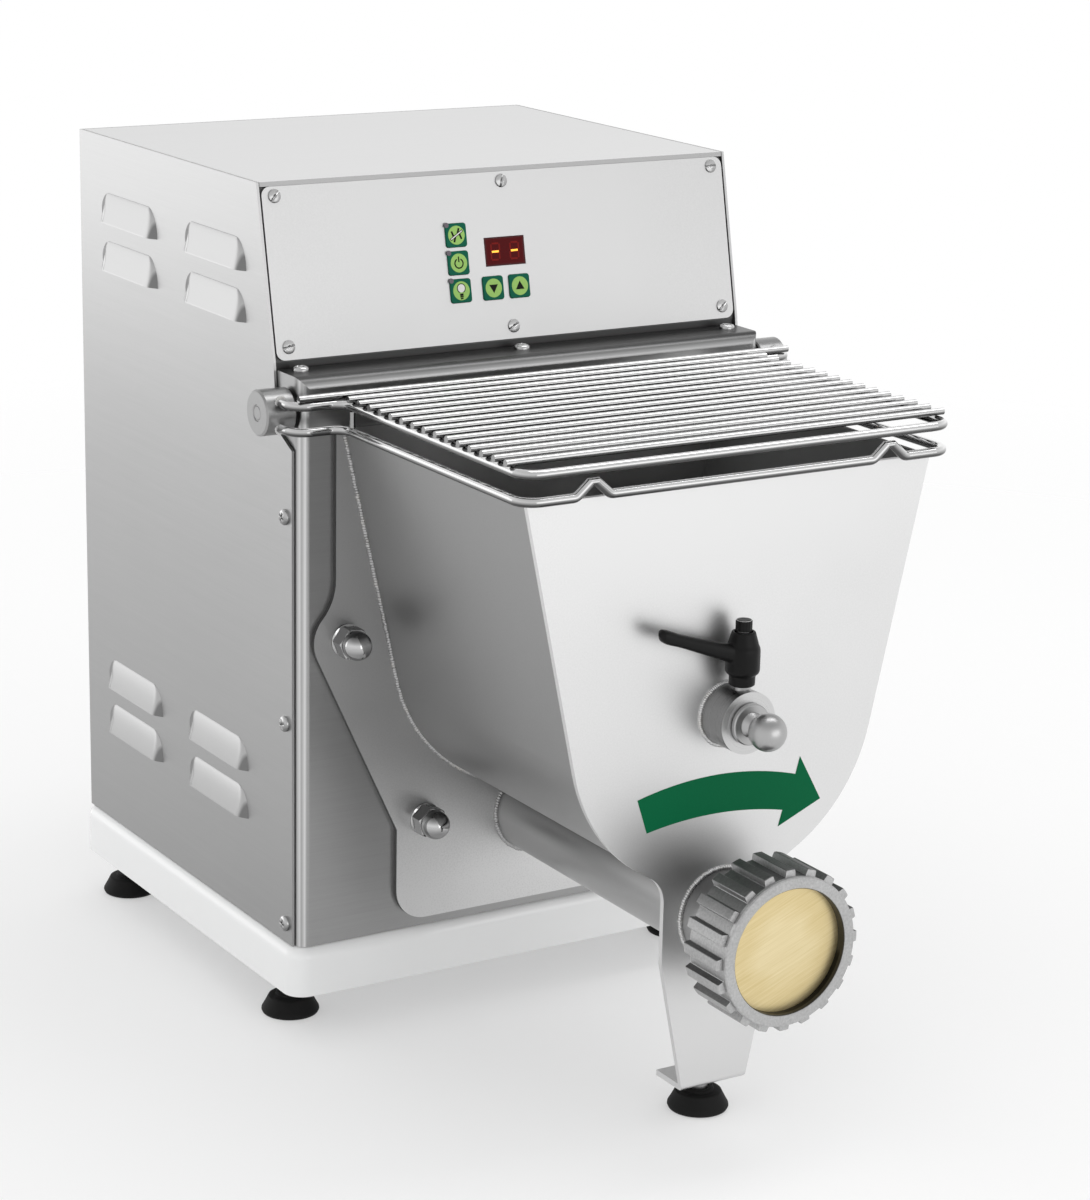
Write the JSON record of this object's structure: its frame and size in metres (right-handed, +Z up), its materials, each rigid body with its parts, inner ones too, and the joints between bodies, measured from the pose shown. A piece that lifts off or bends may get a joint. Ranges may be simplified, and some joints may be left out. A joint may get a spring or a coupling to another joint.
{
  "type": "table-top pasta machine",
  "caption": "Table-top dough mixer and extruder: boxed geared drive, kneading hopper with hinged wire guard, auger barrel with screw-on die ring, clamp lever, front leg and control fascia.",
  "frame": {"origin": "on the table under the middle of the machine's box", "axes": "+Z up, -Y towards the die and the user, +X to the right as seen from the front"},
  "size_m": [0.268, 0.44, 0.38],
  "materials": {
    "white_enamel": "gloss white enamel",
    "black_rubber": "matt black rubber",
    "steel": "plain bright steel",
    "stainless_sheet": "stainless sheet with a fine brushed grain",
    "satin_steel": "satin stainless steel",
    "polished_wire": "polished stainless wire",
    "polished_nut": "polished stainless steel",
    "fascia_aluminium": "satin silver plate",
    "cast_aluminium": "matt cast aluminium",
    "brass": "pale brass with a brushed grain",
    "button_green": "dark green push button with a light green disc",
    "display_red": "dark red display window",
    "black_plastic": "semi-gloss black plastic",
    "board_green": "circuit board",
    "motor_paint": "dark painted housing"
  },
  "bodies": {
    "housing": {"base_plate": "white_enamel", "bearing_boss": "satin_steel", "bearing_plate": "steel", "board_standoffs": "brass", "button_switches": "black_plastic", "cable_gland": "black_plastic", "control_board": "board_green", "cross_rail": "steel", "display_module": "black_plastic", "display_window": "display_red", "dome_nuts": "polished_nut", "extruder_barrel": "satin_steel", "fascia_backing": "stainless_sheet", "fascia_plate": "fascia_aluminium", "fascia_screws": "steel", "foot_nuts": "steel", "foot_studs": "steel", "front_panel": "stainless_sheet", "front_panel_screws": "steel", "gear_pillars": "steel", "gearbox_housing": "cast_aluminium", "hinge_blocks": "steel", "hinge_pins": "steel", "hinge_washers": "black_plastic", "hopper_front_plate": "satin_steel", "hopper_shell": "satin_steel", "motor_housing": "motor_paint", "mounting_plate": "satin_steel", "mounting_studs": "steel", "rear_panel": "stainless_sheet", "rear_screws": "steel", "rubber_feet": "black_rubber", "shaft_bushes": "brass", "side_panel_left": "stainless_sheet", "side_panel_right": "stainless_sheet", "side_screws": "steel", "top_cover": "stainless_sheet"},
    "lid": {"hinge_boss_left": "satin_steel", "hinge_boss_right": "satin_steel", "guard_upper_frame": "polished_wire", "guard_lower_frame": "polished_wire", "guard_cross_wires": "polished_wire", "guard_spacers": "polished_wire"},
    "mixer": {"mixer_drive_shaft": "steel", "mixing_shaft": "satin_steel", "mixing_paddles": "satin_steel", "mixer_gear": "steel"},
    "auger_drive": {"auger": "satin_steel", "auger_gear": "steel"},
    "pinion": {"motor_pinion": "steel"},
    "die": {"die_disc": "brass"},
    "ring": {"die_ring": "cast_aluminium"},
    "pin": {"bearing_pin": "polished_nut"},
    "clamp_stud": {"lever_stud": "steel"},
    "clamp_handle": {"lever_handle": "black_plastic"},
    "mix_key": {"button_mix": "button_green"},
    "power_key": {"button_power": "button_green"},
    "extrude_key": {"button_extrude": "button_green"},
    "down_key": {"button_down": "button_green"},
    "up_key": {"button_up": "button_green"}
  },
  "joints": [
    {"name": "lid_hinge", "type": "hinge", "parent": "housing", "child": "lid", "pos_m": [0, -0.007, 0.287], "axis": [-1, 0, 0], "range_deg": [0, 92]},
    {"name": "mixer_spin", "type": "hinge", "parent": "housing", "child": "mixer", "pos_m": [0, -0.016, 0.18], "axis": [0, -1, 0], "continuous": true},
    {"name": "auger_spin", "type": "hinge", "parent": "housing", "child": "auger_drive", "pos_m": [0, -0.016, 0.0925], "axis": [0, -1, 0], "continuous": true},
    {"name": "pinion_spin", "type": "hinge", "parent": "housing", "child": "pinion", "pos_m": [0.06727, 0.004, 0.18557], "axis": [0, -1, 0], "continuous": true},
    {"name": "die_travel", "type": "slide", "parent": "housing", "child": "die", "axis": [0, -1, 0], "range_m": [0, 0.009]},
    {"name": "ring_turn", "type": "hinge", "parent": "die", "child": "ring", "pos_m": [0, -0.206, 0.0925], "axis": [0, -1, 0], "range_deg": [0, 1620]},
    {"name": "pin_slide", "type": "slide", "parent": "housing", "child": "pin", "axis": [0, -1, 0], "range_m": [0, 0.015]},
    {"name": "lever_turn", "type": "hinge", "parent": "housing", "child": "clamp_stud", "pos_m": [0, -0.1787, 0.2], "axis": [0, 0, 1], "range_deg": [0, 170]},
    {"name": "lever_lift", "type": "slide", "parent": "clamp_stud", "child": "clamp_handle", "axis": [0, 0, 1], "range_m": [0, 0.0035], "stiffness_N_per_m": 400, "springref_m": -0.002},
    {"name": "press_mix", "type": "slide", "parent": "housing", "child": "mix_key", "axis": [0, 0.978, -0.2086], "range_m": [0, 0.0007], "stiffness_N_per_m": 1500, "springref_m": -0.0006},
    {"name": "press_power", "type": "slide", "parent": "housing", "child": "power_key", "axis": [0, 0.978, -0.2086], "range_m": [0, 0.0007], "stiffness_N_per_m": 1500, "springref_m": -0.0006},
    {"name": "press_extrude", "type": "slide", "parent": "housing", "child": "extrude_key", "axis": [0, 0.978, -0.2086], "range_m": [0, 0.0007], "stiffness_N_per_m": 1500, "springref_m": -0.0006},
    {"name": "press_down", "type": "slide", "parent": "housing", "child": "down_key", "axis": [0, 0.978, -0.2086], "range_m": [0, 0.0007], "stiffness_N_per_m": 1500, "springref_m": -0.0006},
    {"name": "press_up", "type": "slide", "parent": "housing", "child": "up_key", "axis": [0, 0.978, -0.2086], "range_m": [0, 0.0007], "stiffness_N_per_m": 1500, "springref_m": -0.0006}
  ],
  "couplings": [
    {"joint": "auger_spin", "follows": "mixer_spin", "ratio": -1.1875},
    {"joint": "pinion_spin", "follows": "mixer_spin", "ratio": -2.375},
    {"joint": "die_travel", "follows": "ring_turn", "m_per_rad": 0.00031831}
  ]
}
